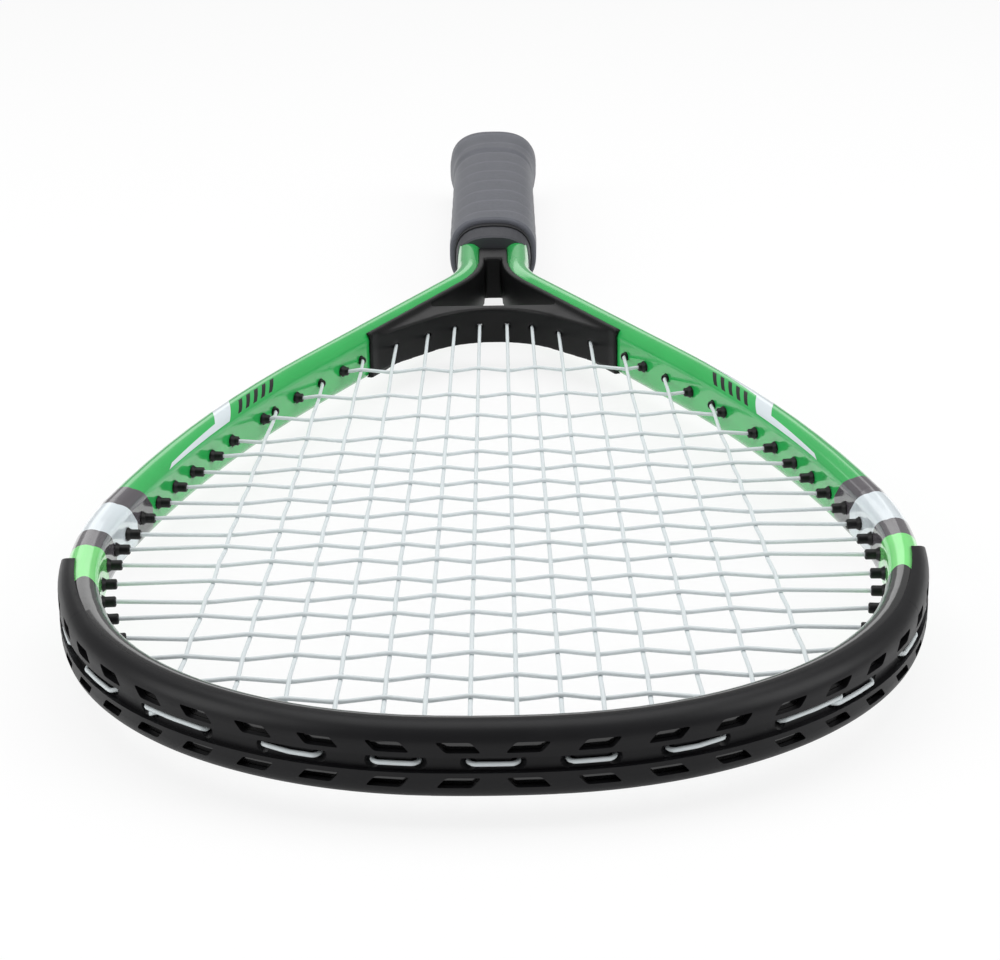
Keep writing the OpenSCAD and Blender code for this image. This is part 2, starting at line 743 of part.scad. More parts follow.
// The whole main string: down one main, across at the tip, up the next, across at the throat.
function main_part(k) =
    let (m = main_of(k), run_points = main_side(m[0], m[1]), down = k % 2 == 0)
    down
    ? concat(k == 0 ? backwards(throat_bend(k, 1)) : [], backwards(run_points),
             tip_bend(k, 1), [tip_middle(k)], backwards(tip_bend(k + 1, -1)))
    : concat(run_points, k < 2 * main_count - 1
             ? concat(throat_bend(k, 1), throat_middle(k), backwards(throat_bend(k + 1, -1)))
             : throat_bend(k, -1));
function throat_middle(k) =
    let (a = main_of(k), b = main_of(k + 1))
    min(a[0], b[0]) >= yoke_mains && a[1] == b[1]
    ? sided([loop_mid(throat_holes[a[0] - yoke_mains], throat_holes[b[0] - yoke_mains], strip_loop, loop_z)], a[1])
    : [];
main_points = [for (k = [0 : 2 * main_count - 1]) each main_part(k)];

// The cross string: from side to side, with a loop in the groove to the next cross string.
function cross_off(j) = j < bumper_crosses ? bumper_loop : strip_loop;
function cross_run(j) = [
    flat([-cross_holes[j][0][0], cross_y[j]], 0),
    for (k = [0 : 2 * main_count - 1])
        let (m = main_of(k))
        if (len([for (c = crosses_of(m[0])) if (c == j) c]) > 0)
            [m[1] * main_x(m[0], cross_y[j]), cross_y[j], -weave_z * over(m[0], j, m[1])],
    flat([cross_holes[j][0][0], cross_y[j]], 0)
];
function cross_bend(j, toward, side) =
    sided(turn_out(cross_holes[j], cross_off(j), toward, -loop_z), side);
// The middle of the loop between two cross strings. The one that leaves the bumper for the strip stays in
// the bumper's channel until it is past the bumper's end.
function cross_middle(j, side) =
    sided([
        j == bumper_crosses - 1
        ? flat(on_arc(ARCS[2], bumper_turn + lap_turn(ARCS[2]) * 3, bumper_loop)[0], -loop_z)
        : loop_mid(cross_holes[j], cross_holes[j + 1], cross_off(j), -loop_z)
    ], side);
function cross_part(j) =
    let (side = j % 2 == 0 ? 1 : -1, run_points = side > 0 ? cross_run(j) : backwards(cross_run(j)))
    concat(
        j == 0 ? backwards(cross_bend(0, 1, -side)) : [],
        run_points,
        j < len(cross_y) - 1
        ? concat(cross_bend(j, 1, side), cross_middle(j, side), backwards(cross_bend(j + 1, -1, side)))
        : cross_bend(j, -1, side)
    );
cross_points = [for (j = [0 : len(cross_y) - 1]) each cross_part(j)];

module main_strings() {
    color([0.86, 0.89, 0.9]) placed() string_tube(main_points);
}

module cross_strings() {
    color([0.86, 0.89, 0.9]) placed() string_tube(cross_points);
}

// Handle. Its section is a rounded shape between an ellipse and a rectangle.
section_power = 2.6;
section_sides = 32;
function power(v, p) = sign(v) * pow(abs(v), p);
function handle_ring(w, h) = [for (k = [0 : section_sides - 1])
    let (a = k * 360 / section_sides)
    [w / 2 * power(cos(a), 2 / section_power), h / 2 * power(sin(a), 2 / section_power)]];
// A ring of the handle at a distance from the front of the collar.
function ring_at(y, w, h) = [for (p = handle_ring(w, h)) [p[0], collar_y + y, p[1]]];

module handle_prism(from, to, w, h) {
    translate([0, collar_y + to, 0])
        rotate([90, 0, 0])
            linear_extrude(to - from) polygon(handle_ring(w, h));
}

nose_l = collar_l + finish_l;
core_end = handle_l - butt_wall;
shaft_stop = handle_l - butt_wall - 6;

module handle_core() {
    color("tan") placed() difference() {
        union() {
            handle_prism(0.5, nose_l + 1, nose_w, nose_h);
            handle_prism(nose_l, core_end - fit, core_w, core_h);
        }
        both_sides() shaft_sweep(shaft_show + shaft_stop) slot_shape(fit);
    }
}

module grip_collar() {
    front_w = nose_w + 2 * collar_t;
    front_h = nose_h + 2 * collar_t;
    lip = 1.2;
    color([0.45, 0.45, 0.48]) placed() difference() {
        skin([
            ring_at(0, front_w - 1, front_h - 1),
            ring_at(lip, front_w, front_h),
            ring_at(collar_l - fit, core_w - 0.4, core_h - 0.4)
        ]);
        handle_prism(0.5, collar_l + 1, nose_w + 2 * fit, nose_h + 2 * fit);
        both_sides() shaft_sweep(shaft_show + collar_l) slot_shape(fit);
    }
}

module finishing_tape() {
    color([0.2, 0.2, 0.22]) placed() difference() {
        handle_prism(collar_l, nose_l - fit, core_w + 0.6, core_h + 0.6);
        handle_prism(collar_l - 1, nose_l + 1, nose_w + 2 * fit, nose_h + 2 * fit);
        both_sides() shaft_sweep(shaft_show + nose_l + 1) slot_shape(fit);
    }
}

// The butt cap's outside, a sleeve that flares towards the butt.
cap_start = handle_l - butt_l;
cap_skirt = 1.2;
function cap_w(y) = core_w + cap_skirt + (butt_w - core_w - cap_skirt) * flare_share(y);
function cap_h(y) = core_h + cap_skirt + (butt_h - core_h - cap_skirt) * flare_share(y);
// Share of the flare reached at a place on the handle: none ahead of the cap, all of it near the butt.
flare_full = 12;
function flare_share(y) =
    let (u = min(max((y - cap_start) / (butt_l - flare_full), 0), 1))
    u * u * (3 - 2 * u);

module butt_cap() {
    steps = 6;
    color([0.18, 0.18, 0.2]) placed() difference() {
        skin([
            for (i = [0 : steps])
                let (y = cap_start + i * (butt_l - flare_full) / steps)
                ring_at(y, cap_w(y), cap_h(y)),
            ring_at(handle_l - 1.2, butt_w, butt_h),
            ring_at(handle_l, butt_w - 2.4, butt_h - 2.4)
        ]);
        handle_prism(cap_start - 1, core_end, core_w + 2 * fit, core_h + 2 * fit);
        translate([0, butt_y + 0.01, 0]) rotate([90, 0, 0]) cylinder(r = disc_r + hole_play, h = disc_t + 0.21);
    }
}

module butt_disc() {
    color([0.3, 0.3, 0.32]) placed()
        translate([0, butt_y - 0.2, 0])
            rotate([90, 0, 0])
                cylinder(r = disc_r, h = disc_t - 0.02);
}

// The tape starts to rise over the cap a little ahead of it.
lead_in = 4;
// The grip tape, wound in one spiral from the finishing tape to the butt. Each turn laps the last by one step.
tape_front = nose_l;
tape_back = handle_l - 2;
function tape_step(y, k) =
    let (turn = (y - tape_front) / grip_pitch + k / section_sides)
    y > cap_start + flare_full ? 0 : grip_step * (turn - floor(turn));
function tape_w(y) = max(core_w, y < cap_start - lead_in ? 0 : cap_w(y)) + 2 * tape_gap;
function tape_h(y) = max(core_h, y < cap_start - lead_in ? 0 : cap_h(y)) + 2 * tape_gap;
// The front edge of the tape is rounded over.
function tape_edge(y) = y < tape_front + 0.5 ? -1.6 : y < tape_front + 3 ? -0.5 : 0;
tape_rows = concat([0, 1.5], [for (i = [1 : 34]) i / 34 * (tape_back - tape_front)]);
inner_rows = concat([tape_front - 1, cap_start - 2 * lead_in],
    [for (i = [0 : 5]) cap_start - lead_in + i / 5 * (butt_l + lead_in - flare_full)], [tape_back + 1]);
function tape_outer(s) =
    let (y = tape_front + s, rim = tape_edge(y), w = tape_w(y) + 2 * grip_t + rim, h = tape_h(y) + 2 * grip_t + rim,
         base = ring_at(y, w, h))
    [for (k = [0 : section_sides - 1])
        let (p = base[k], g = 1 + tape_step(y, k) / norm([p[0], p[2]]))
        [p[0] * g, p[1], p[2] * g]];

module grip_tape() {
    color([0.45, 0.46, 0.5]) placed() difference() {
        skin([for (s = tape_rows) tape_outer(s)]);
        skin([for (y = inner_rows) ring_at(y, tape_w(y), tape_h(y))]);
    }
}

frame_tube();
throat_yoke();
bumper_guard();
grommet_strip_left();
grommet_strip_right();
main_strings();
cross_strings();
handle_core();
grip_tape();
finishing_tape();
grip_collar();
butt_cap();
butt_disc();
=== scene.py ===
"""Looks of the strung crossminton racket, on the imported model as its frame.

Sizes are in millimetres in the drawing of the racket: x to the side, y from the tube's centre line at
the tip, z up from the plane of the strings. row() takes a place in that drawing to the model's own frame.
"""

import math

import bmesh
import bpy
from mathutils import Matrix, Vector


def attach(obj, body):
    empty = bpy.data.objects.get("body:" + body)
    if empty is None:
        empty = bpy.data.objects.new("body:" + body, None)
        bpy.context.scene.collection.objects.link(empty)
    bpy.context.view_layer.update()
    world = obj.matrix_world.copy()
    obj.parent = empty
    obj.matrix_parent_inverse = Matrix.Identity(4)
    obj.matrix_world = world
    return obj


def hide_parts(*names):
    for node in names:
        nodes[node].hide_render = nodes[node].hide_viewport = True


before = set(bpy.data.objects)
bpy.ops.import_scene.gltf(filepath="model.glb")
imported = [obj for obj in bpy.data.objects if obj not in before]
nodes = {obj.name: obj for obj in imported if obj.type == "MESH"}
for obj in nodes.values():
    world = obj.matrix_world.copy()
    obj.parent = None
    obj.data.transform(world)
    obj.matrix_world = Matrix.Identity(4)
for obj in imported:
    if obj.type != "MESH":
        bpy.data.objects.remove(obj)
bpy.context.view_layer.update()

MM = 0.001
MIDDLE_Y = 286.941
FLOOR_Z = 14.75

# Tube and rim, as in the part's drawing.
TUBE_W = 8.5
TUBE_H = 17.0
GROOVE_D = 1.8
FIT = 0.08
STRIP_T = 0.7
BUMPER_T = 1.75
BUMPER_TURN = math.radians(88.9)
TIP_R = 200.0
CORNER_R = 93.0
SIDE_R = 150.0
SHOULDER_R = 535.0
TIP_TURN = math.radians(3.7)
CORNER_TURN = math.radians(71.0)
SIDE_TURN = math.radians(101.0)
SHOULDER_TURN = math.radians(115.5)

# Strings, as in the part's drawing.
STRING_D = 1.1
WEAVE_GAP = 0.1
LOOP_Z = 0.62
STRING_BEND = 1.1
LOOP_PLAY = 0.06
BARREL_REACH = 3.8
SHOULDER_REACH = 2.6
MAIN_TIP_X = [5.2, 15.3, 24.7, 35.4, 47, 59, 72.7]
MAIN_THROAT_X = [4.6, 13, 21.8, 31.9, 42, 53.5, 65.8]
CROSS_Y = [28.5, 40, 53, 65.5, 77.5, 88.5, 100, 113, 124, 135]
CROSS_Y += [147, 159, 171.5, 184, 197.5, 211, 231, 251.5, 278.5]
SHORT_CROSSES = 4
YOKE_MAINS = 4
WEAVE_CLEAR = 0.8

# Throat yoke.
ARCH_Y = 328.5
ARCH_R = 26.0
ARCH_SLOPE = math.radians(49)
BRIDGE_T = 4.6
# Fineness of the yoke's rounded copy, and how many times it is smoothed.
YOKE_GRAIN = 0.55
YOKE_ROUNDS = 5

# Handle.
COLLAR_Y = 406.881
COLLAR_L = 13.0
FINISH_L = 4.0
HANDLE_L = 173.0
CORE_W = 28.0
CORE_H = 23.6
GRIP_T = 1.8
GRIP_PITCH = 17.0
GRIP_STEP = 0.35
TAPE_GAP = 0.15
BUTT_W = 32.6
BUTT_H = 25.6
BUTT_L = 34.0
SECTION_POWER = 2.6


def row(x, y, z):
    """A place in the drawing, in the model's frame, in metres."""
    return Vector((x * MM, (y - MIDDLE_Y) * MM, (z + FLOOR_Z) * MM))


# The rim's centre line.


def out_of(turn):
    return Vector((math.sin(turn), -math.cos(turn)))


def along(turn):
    return Vector((math.cos(turn), math.sin(turn)))


class Arc:
    """One arc of the rim, from one heading to the next."""

    def __init__(self, centre, radius, first, last):
        self.centre = centre
        self.radius = radius
        self.first = first
        self.last = last

    def spot(self, turn, off=0.0):
        return self.centre + (self.radius + off) * out_of(turn), turn

    def length(self):
        return self.radius * (self.last - self.first)

    def followed_by(self, radius, last):
        """The next arc, which goes on from this one's end without a kink."""
        centre = self.centre + (self.radius - radius) * out_of(self.last)
        return Arc(centre, radius, self.last, last)


TIP = Arc(Vector((0, TIP_R)), TIP_R, 0.0, TIP_TURN)
CORNER = TIP.followed_by(CORNER_R, CORNER_TURN)
SIDE = CORNER.followed_by(SIDE_R, SIDE_TURN)
SHOULDER = SIDE.followed_by(SHOULDER_R, SHOULDER_TURN)
ARCS = [TIP, CORNER, SIDE, SHOULDER]
SHOULDER_END = SHOULDER.spot(SHOULDER_TURN)[0]
SIDE_START_L = TIP.length() + CORNER.length()
SHOULDER_START_L = SIDE_START_L + SIDE.length()


def rim_at_y(y, off):
    for arc in ARCS:
        q = (arc.centre.y - y) / (arc.radius + off)
        if abs(q) < 1 and arc.first <= math.acos(q) < arc.last:
            return arc.spot(math.acos(q), off)
    start = SHOULDER_END + off * out_of(SHOULDER_TURN)
    return start + (y - start.y) / math.sin(SHOULDER_TURN) * along(SHOULDER_TURN), SHOULDER_TURN


def tip_at_x(x, off):
    for arc in ARCS:
        q = (x - arc.centre.x) / (arc.radius + off)
        if abs(q) < 1 and arc.first <= math.asin(q) < arc.last:
            return arc.spot(math.asin(q), off)
    raise ValueError("no such place on the tip")


def shoulder_at_x(x, off):
    for arc in ARCS:
        q = (x - arc.centre.x) / (arc.radius + off)
        if abs(q) < 1:
            turn = math.pi - math.asin(q)
            if max(arc.first, math.pi / 2) <= turn < arc.last:
                return arc.spot(turn, off)
    start = SHOULDER_END + off * out_of(SHOULDER_TURN)
    return start + (x - start.x) / math.cos(SHOULDER_TURN) * along(SHOULDER_TURN), SHOULDER_TURN


# String holes. A hole halves the angle between its string and the square line through the rim.

INNER = -TUBE_W / 2
GROOVE_FLOOR = TUBE_W / 2 - GROOVE_D
BUMPER_OUT = TUBE_W / 2 + BUMPER_T
BUMPER_LOOP = BUMPER_OUT - STRING_D - 0.4 + STRING_D / 2 + LOOP_PLAY
STRIP_LOOP = GROOVE_FLOOR + FIT + STRIP_T + STRING_D / 2 + LOOP_PLAY


class Hole:
    """A string hole through the rim, from the tip of its barrel outwards."""

    def __init__(self, spot, string_dir, stand):
        place, self.turn = spot
        halfway = out_of(self.turn) + string_dir
        self.tip = place - stand * string_dir
        self.dir = halfway.normalized()
        self.tip_off = INNER - stand * string_dir.dot(out_of(self.turn))

    def at(self, off):
        return self.tip + (off - self.tip_off) / self.dir.dot(out_of(self.turn)) * self.dir


def cross_hole(j):
    stand = BARREL_REACH if j < len(CROSS_Y) - SHORT_CROSSES else SHOULDER_REACH
    return Hole(rim_at_y(CROSS_Y[j], INNER), Vector((1, 0)), stand)


CROSS_HOLES = [cross_hole(j) for j in range(len(CROSS_Y))]
TIP_HOLES = [Hole(tip_at_x(x, INNER), Vector((0, -1)), BARREL_REACH) for x in MAIN_TIP_X]
THROAT_HOLES = [
    Hole(shoulder_at_x(x, INNER), Vector((0, 1)), SHOULDER_REACH)
    for x in MAIN_THROAT_X[YOKE_MAINS:]
]
BUMPER_CROSSES = sum(1 for y in CROSS_Y if rim_at_y(y, INNER)[1] < BUMPER_TURN)


# The strings' ways. A way is a list of 3-D places in the drawing.


def flat(place, z):
    return Vector((place.x, place.y, z))


def mirrored(points, side):
    return points if side > 0 else [Vector((-p.x, p.y, p.z)) for p in points]


def turn_out(hole, off, toward, z):
    """A string's turn out of a hole into the groove: one place in the bore and one in the groove."""
    end = hole.at(off) + STRING_BEND * toward * along(hole.turn)
    return [flat(hole.at(off - STRING_BEND), 0.3 * z), flat(end, z)]


def loop_middle(a, b, off, z):
    bow = (a.at(0) - b.at(0)).length * math.tan(abs(a.turn - b.turn) / 4) / 2
    return [flat((a.at(off) + b.at(off)) / 2 + bow * out_of((a.turn + b.turn) / 2), z)]


def arch_front(x):
    arm = Vector((ARCH_R * math.sin(ARCH_SLOPE), ARCH_Y - ARCH_R * (1 - math.cos(ARCH_SLOPE))))
    if x < arm.x:
        return ARCH_Y - ARCH_R + math.sqrt(ARCH_R * ARCH_R - x * x)
    return arm.y - (x - arm.x) * math.tan(ARCH_SLOPE)


def throat_tip(i):
    if i < YOKE_MAINS:
        return Vector((MAIN_THROAT_X[i], arch_front(MAIN_THROAT_X[i])))
    return THROAT_HOLES[i - YOKE_MAINS].tip


def main_x(i, y):
    a = TIP_HOLES[i].tip
    b = throat_tip(i)
    return a.x + (b.x - a.x) * (y - a.y) / (b.y - a.y)


def crossings(i):
    """The cross strings that main string i meets."""
    first = TIP_HOLES[i].tip.y + WEAVE_CLEAR
    last = throat_tip(i).y - WEAVE_CLEAR
    return [
        j
        for j, y in enumerate(CROSS_Y)
        if first < y < last and main_x(i, y) < CROSS_HOLES[j].tip.x - WEAVE_CLEAR
    ]


WEAVE_Z = (STRING_D + WEAVE_GAP) / 2


def over(i, j, side):
    return 1 if (i + j + (0 if side > 0 else 1)) % 2 == 0 else -1


def main_run(i, side):
    inner = [
        Vector((main_x(i, CROSS_Y[j]), CROSS_Y[j], WEAVE_Z * over(i, j, side)))
        for j in crossings(i)
    ]
    return mirrored([flat(TIP_HOLES[i].tip, 0), *inner, flat(throat_tip(i), 0)], side)


def main_of(k):
    """Main string k, counted from the left, as its count from the middle and its side."""
    half = len(MAIN_TIP_X)
    return (half - 1 - k, -1) if k < half else (k - half, 1)


def main_loop_z(i):
    return LOOP_Z if i >= len(MAIN_TIP_X) - 3 else 0.0


def tip_bend(k, toward):
    i, side = main_of(k)
    return mirrored(turn_out(TIP_HOLES[i], BUMPER_LOOP, toward * side, main_loop_z(i)), side)


def tip_middle(k):
    (a, side_a), (b, side_b) = main_of(k), main_of(k + 1)
    if side_a != side_b:
        return [Vector((0, -BUMPER_LOOP, 0))]
    middle = loop_middle(TIP_HOLES[a], TIP_HOLES[b], BUMPER_LOOP, main_loop_z(min(a, b)))
    return mirrored(middle, side_a)


BRIDGE_LOOP = ARCH_Y + BRIDGE_T + STRING_D / 2 + LOOP_PLAY
TUNNEL_IN = 3.4


def tunnel_spot(i, shift):
    return Vector((MAIN_THROAT_X[i] + shift, arch_front(MAIN_THROAT_X[i]) + TUNNEL_IN))


def throat_bend(k, toward):
    """The turn of main string k behind the bridge, in the bridge's tunnel or outside the tube."""
    i, side = main_of(k)
    x = MAIN_THROAT_X[i]
    way = toward * side
    if i < 2:
        points = [
            Vector((x, BRIDGE_LOOP - STRING_BEND, 0)),
            Vector((x + way * STRING_BEND, BRIDGE_LOOP, 0)),
        ]
    elif i == 2:
        points = [flat(tunnel_spot(2, 0) - Vector((0, 0.3)), 0), flat(tunnel_spot(2, STRING_BEND), 0)]
    elif i == 3:
        points = [flat(tunnel_spot(3, 0), 0)]
    else:
        points = turn_out(THROAT_HOLES[i - YOKE_MAINS], STRIP_LOOP, -way, LOOP_Z)
    return mirrored(points, side)


def throat_middle(k):
    (a, side_a), (b, side_b) = main_of(k), main_of(k + 1)
    if min(a, b) < YOKE_MAINS or side_a != side_b:
        return []
    hole_a = THROAT_HOLES[a - YOKE_MAINS]
    hole_b = THROAT_HOLES[b - YOKE_MAINS]
    return mirrored(loop_middle(hole_a, hole_b, STRIP_LOOP, LOOP_Z), side_a)


def main_way():
    count = 2 * len(MAIN_TIP_X)
    way = []
    for k in range(count):
        run = main_run(*main_of(k))
        if k % 2 == 0:
            if k == 0:
                way += throat_bend(0, 1)[::-1]
            way += run[::-1] + tip_bend(k, 1) + tip_middle(k) + tip_bend(k + 1, -1)[::-1]
        elif k < count - 1:
            way += run + throat_bend(k, 1) + throat_middle(k) + throat_bend(k + 1, -1)[::-1]
        else:
            way += run + throat_bend(k, -1)
    return way


def cross_off(j):
    return BUMPER_LOOP if j < BUMPER_CROSSES else STRIP_LOOP


def cross_run(j):
    edge = CROSS_HOLES[j].tip.x
    points = [Vector((-edge, CROSS_Y[j], 0))]
    for k in range(2 * len(MAIN_TIP_X)):
        i, side = main_of(k)
        if j in crossings(i):
            x = side * main_x(i, CROSS_Y[j])
            points.append(Vector((x, CROSS_Y[j], -WEAVE_Z * over(i, j, side))))
    return [*points, Vector((edge, CROSS_Y[j], 0))]


def cross_middle(j):
    if j == BUMPER_CROSSES - 1:
        return [flat(SIDE.spot(BUMPER_TURN + 0.9 / SIDE_R, BUMPER_LOOP)[0], -LOOP_Z)]
    return loop_middle(CROSS_HOLES[j], CROSS_HOLES[j + 1], cross_off(j), -LOOP_Z)


def cross_bend(j, toward):
    return turn_out(CROSS_HOLES[j], cross_off(j), toward, -LOOP_Z)


def cross_way():
    way = []
    for j in range(len(CROSS_Y)):
        side = 1 if j % 2 == 0 else -1
        run = cross_run(j)
        if j == 0:
            way += mirrored(cross_bend(0, 1), -side)[::-1]
        way += run if side > 0 else run[::-1]
        if j < len(CROSS_Y) - 1:
            way += mirrored(cross_bend(j, 1) + cross_middle(j) + cross_bend(j + 1, -1)[::-1], side)
        else:
            way += mirrored(cross_bend(j, -1), side)
    return way


# Meshes.


def new_piece(name, mesh, material, stands_for):
    """Puts a finished mesh in the scene as a piece of the racket, in place of the given solids."""
    mesh.materials.clear()
    mesh.materials.append(material)
    obj = bpy.data.objects.new(name, mesh)
    bpy.context.scene.collection.objects.link(obj)
    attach(obj, "root")
    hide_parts(*stands_for)
    return obj


def softened(points, reach=1.0, steps=4):
    """Rounds each corner of a way with a short curve."""
    out = [points[0]]
    for before, here, after in zip(points, points[1:], points[2:]):
        cut = min(reach, 0.4 * (here - before).length, 0.4 * (after - here).length)
        a = here + cut * (before - here).normalized()
        b = here + cut * (after - here).normalized()
        for n in range(steps + 1):
            t = n / steps
            out.append((1 - t) ** 2 * a + 2 * t * (1 - t) * here + t * t * b)
    return [*out, points[-1]]


def ring_mesh(name, rings, uv_of):
    """Joins closed rings of equal length into a capped tube, with a UV for each corner."""
    bm = bmesh.new()
    uv = bm.loops.layers.uv.new("UVMap")
    grid = [[bm.verts.new(p) for p in ring] for ring in rings]
    count = len(rings[0])
    for j in range(len(rings) - 1):
        for k in range(count):
            n = (k + 1) % count
            face = bm.faces.new((grid[j][k], grid[j][n], grid[j + 1][n], grid[j + 1][k]))
            face.smooth = True
            for loop, (a, b) in zip(face.loops, ((j, k), (j, k + 1), (j + 1, k + 1), (j + 1, k))):
                loop[uv].uv = uv_of(a, b)
    for ring, end in ((grid[0][::-1], 0), (grid[-1], len(rings) - 1)):
        face = bm.faces.new(ring)
        for loop in face.loops:
            loop[uv].uv = uv_of(end, 0)
    bmesh.ops.recalc_face_normals(bm, faces=bm.faces)
    mesh = bpy.data.meshes.new(name)
    bm.to_mesh(mesh)
    bm.free()
    return mesh


def string_mesh(name, way, sides=10):
    """A round string along a way, with its length in millimetres as u and its turn as v."""
    points = softened(way)
    radius = STRING_D / 2
    rings = []
    lengths = [0.0]
    for n, place in enumerate(points):
        before = points[max(n - 1, 0)]
        after = points[min(n + 1, len(points) - 1)]
        ahead = (after - before).normalized()
        across = ahead.cross(Vector((0, 0, 1))).normalized()
        top = across.cross(ahead)
        if n:
            lengths.append(lengths[-1] + (place - before).length)
        ring = []
        for k in range(sides):
            a = 2 * math.pi * k / sides
            ring.append(row(*(place + radius * (math.cos(a) * across + math.sin(a) * top))))
        rings.append(ring)
    return ring_mesh(name, rings, lambda j, k: (lengths[j], k / sides))


def power(value, exponent):
    return math.copysign(abs(value) ** exponent, value)


def handle_point(angle, width, height):
    """A place on the handle's rounded section."""
    x = width / 2 * power(math.cos(angle), 2 / SECTION_POWER)
    z = height / 2 * power(math.sin(angle), 2 / SECTION_POWER)
    return x, z


CAP_START = HANDLE_L - BUTT_L
CAP_SKIRT = 1.2
# Length at the butt over which the cap has its full size.
FLARE_FULL = 12.0
# How far ahead of the cap the tape starts to rise over it.
LEAD_IN = 4.0
TAPE_FRONT = COLLAR_L + FINISH_L
TAPE_BACK = HANDLE_L - 2.0
TAPE_RINGS = 360
TAPE_SIDES = 72
# Rounding of the tape's two ends: places from each end, and how far the surface lies inside the full size.
FRONT_ROUNDING = [(0.0, -1.7), (0.0, -0.9), (0.35, -0.35), (1.0, -0.08)]
BACK_ROUNDING = [(0.8, -0.08), (0.3, -0.35), (0.0, -0.8), (0.0, -1.7)]
# Where the even rings start and stop, from the two ends.
RINGS_FROM = 1.6
RINGS_TO = 1.2
# Share of a turn over which the lap drops to the next turn.
LAP_DROP = 0.09
# Length of the tape's way once round the handle.
ROUND_L = 95.0


def flare(y, core, butt):
    """The butt cap's width or height at a place on the handle."""
    u = min(max((y - CAP_START) / (BUTT_L - FLARE_FULL), 0), 1)
    return core + CAP_SKIRT + (butt - core - CAP_SKIRT) * u * u * (3 - 2 * u)


def tape_base(y, core, butt):
    cap = flare(y, core, butt)
    ease = min(max((y - CAP_START + 2 * LEAD_IN) / (2 * LEAD_IN), 0), 1)
    ease = ease * ease * (3 - 2 * ease)
    return max(core, core + (cap - core) * ease) + 2 * TAPE_GAP


def lap_height(turn):
    """Height of the tape's lap: it climbs over a turn and drops softly at the edge of the next."""
    part = turn - math.floor(turn)
    if part > 1 - LAP_DROP:
        t = (part - (1 - LAP_DROP)) / LAP_DROP
        return GRIP_STEP * (1 - t * t * (3 - 2 * t))
    return GRIP_STEP * min(part / (1 - LAP_DROP), 1) ** 0.8


def tape_rows():
    """The places of the tape's rings along the handle, each with how far it is trimmed."""
    even = TAPE_BACK - TAPE_FRONT - RINGS_FROM - RINGS_TO
    rows = [(TAPE_FRONT + place, trim) for place, trim in FRONT_ROUNDING]
    rows += [(TAPE_FRONT + RINGS_FROM + n / TAPE_RINGS * even, 0.0) for n in range(TAPE_RINGS + 1)]
    return rows + [(TAPE_BACK - place, trim) for place, trim in BACK_ROUNDING]


def tape_turn(y, k):
    return (y - TAPE_FRONT) / GRIP_PITCH + k / TAPE_SIDES


def tape_ring(y, trim):
    # Where the butt flares, the laps sink into the tape, so that it stays as wide as the part.
    sink = GRIP_STEP * min(max((y - CAP_START) / FLARE_FULL, 0), 1)
    width = tape_base(y, CORE_W, BUTT_W) + 2 * GRIP_T
    height = tape_base(y, CORE_H, BUTT_H) + 2 * GRIP_T
    ring = []
    for k in range(TAPE_SIDES):
        x, z = handle_point(2 * math.pi * k / TAPE_SIDES, width, height)
        grow = 1 + (trim + lap_height(tape_turn(y, k)) - sink) / math.hypot(x, z)
        ring.append(row(x * grow, COLLAR_Y + y, z * grow))
    return ring


def grip_mesh():
    """The wound grip tape, with the tape's own length and width as its UV."""
    rows = tape_rows()

    def uv_of(j, k):
        return k / TAPE_SIDES * ROUND_L, tape_turn(rows[j][0], k)

    return ring_mesh("wound_grip_tape", [tape_ring(y, trim) for y, trim in rows], uv_of)


def rounded_copy(node, grain_mm, rounds):
    """A merged copy of one of the part's solids with its edges rounded off."""
    copy = bpy.data.objects.new("rounding", node.data.copy())
    bpy.context.scene.collection.objects.link(copy)
    copy.matrix_world = node.matrix_world.copy()
    remesh = copy.modifiers.new("remesh", "REMESH")
    remesh.mode = "VOXEL"
    remesh.voxel_size = grain_mm * MM
    smooth = copy.modifiers.new("smooth", "SMOOTH")
    smooth.factor = 0.5
    smooth.iterations = rounds
    bpy.context.view_layer.update()
    solved = copy.evaluated_get(bpy.context.evaluated_depsgraph_get())
    mesh = bpy.data.meshes.new_from_object(solved)
    mesh.transform(node.matrix_world)
    mesh.shade_smooth()
    bpy.data.objects.remove(copy, do_unlink=True)
    return mesh


# Shader building. Each helper adds one node to a tree and gives back its output.


